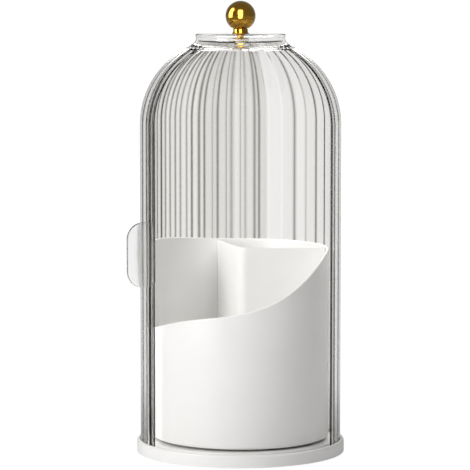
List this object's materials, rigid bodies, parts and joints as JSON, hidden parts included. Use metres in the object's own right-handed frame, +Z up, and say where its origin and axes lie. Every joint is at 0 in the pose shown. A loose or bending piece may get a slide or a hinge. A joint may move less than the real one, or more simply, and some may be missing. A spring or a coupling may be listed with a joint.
{
  "type": "rotating vanity organizer",
  "caption": "Round vanity organizer: a divided white cup turns on a ball bearing base under a clear fluted dome with a sliding inner door and a ball knob.",
  "frame": {"origin": "centre of the anti-slip pad's lower face, on the turntable's axis, at table height", "axes": "+Z up along the turntable's axis; the opening and the cup's low rim face -Y; +X to the right seen from the front"},
  "size_m": [0.1454, 0.14, 0.3038],
  "materials": {
    "white_plastic": "fine satin gloss, moulded ABS",
    "clear_fluted_plastic": "clear polished PET with fine flutes",
    "clear_handle_plastic": "clear moulded plastic, slightly milky",
    "polished_gold": "polished gold plating",
    "bright_steel": "bright zinc plated steel",
    "nylon": "natural nylon",
    "rubber": "matt foam rubber"
  },
  "bodies": {
    "base": {"base_plate": "white_plastic", "bottom_cover": "white_plastic", "anti_slip_pad": "rubber", "base_screws": "bright_steel", "pivot_spindle": "bright_steel", "lower_race": "bright_steel", "retaining_washer": "bright_steel", "retaining_screw": "bright_steel", "rear_cover": "clear_fluted_plastic", "knob_ball": "polished_gold", "knob_collar": "polished_gold", "knob_stud": "polished_gold", "knob_washer": "clear_handle_plastic", "spacer_sleeve": "polished_gold", "lower_washer": "clear_handle_plastic", "knob_nut": "polished_gold"},
    "cup": {"cup": "white_plastic", "divider_insert": "white_plastic", "hub_bush": "nylon", "upper_race": "bright_steel"},
    "cage": {"ball_cage": "nylon", "bearing_balls": "bright_steel"},
    "door": {"door_cover": "clear_fluted_plastic", "door_handle": "clear_handle_plastic", "door_bush": "nylon"}
  },
  "joints": [
    {"name": "cup_spin", "type": "hinge", "parent": "base", "child": "cup", "pos_m": [0, 0, 0.0108], "axis": [0, 0, 1], "continuous": true},
    {"name": "cage_spin", "type": "hinge", "parent": "base", "child": "cage", "pos_m": [0, 0, 0.0101], "axis": [0, 0, 1], "continuous": true},
    {"name": "door_slide", "type": "hinge", "parent": "base", "child": "door", "pos_m": [0, 0, 0.2768], "axis": [0, 0, 1], "range_deg": [0, 126.1]}
  ],
  "couplings": [
    {"joint": "cage_spin", "follows": "cup_spin", "ratio": 0.5}
  ]
}
